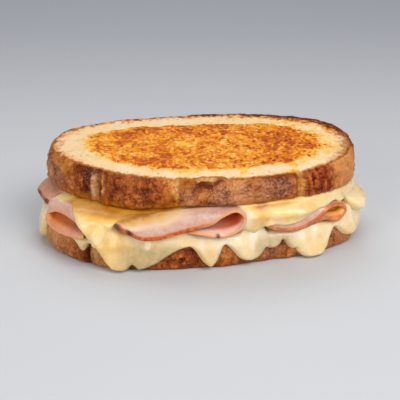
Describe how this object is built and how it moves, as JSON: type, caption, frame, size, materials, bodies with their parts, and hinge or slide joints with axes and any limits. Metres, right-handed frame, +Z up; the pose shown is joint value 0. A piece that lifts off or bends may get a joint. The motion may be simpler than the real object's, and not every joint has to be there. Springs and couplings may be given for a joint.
{
  "type": "grilled cheese sandwich",
  "caption": "Toasted sandwich of rustic bread with folded ham and melted cheese that runs over the crust in drips.",
  "frame": {"origin": "middle of the lower slice's flat underside, where it rests on the plate", "axes": "+X along the slices, towards the rounder end where the cheese bulges out; +Y away from the side where the ham folds open; +Z up, towards the toasted face"},
  "size_m": [0.1749, 0.1153, 0.049],
  "materials": {
    "crust_lower": "baked bread crust, matt brown, a toasted face underneath",
    "crust_upper": "baked bread crust with a golden toasted face and a pale rim",
    "cheese_lower": "melted cheese, pale cream, glossy and slightly translucent",
    "cheese_upper": "melted cheese, butter yellow, glossy",
    "ham": "cooked ham, pale pink and moist with an orange-brown rim"
  },
  "bodies": {
    "root": {"bread_lower": "crust_lower", "bread_upper": "crust_upper", "cheese_lower": "cheese_lower", "cheese_upper": "cheese_upper", "ham_left": "ham", "ham_centre": "ham", "ham_right": "ham", "ham_end": "ham"}
  },
  "joints": []
}
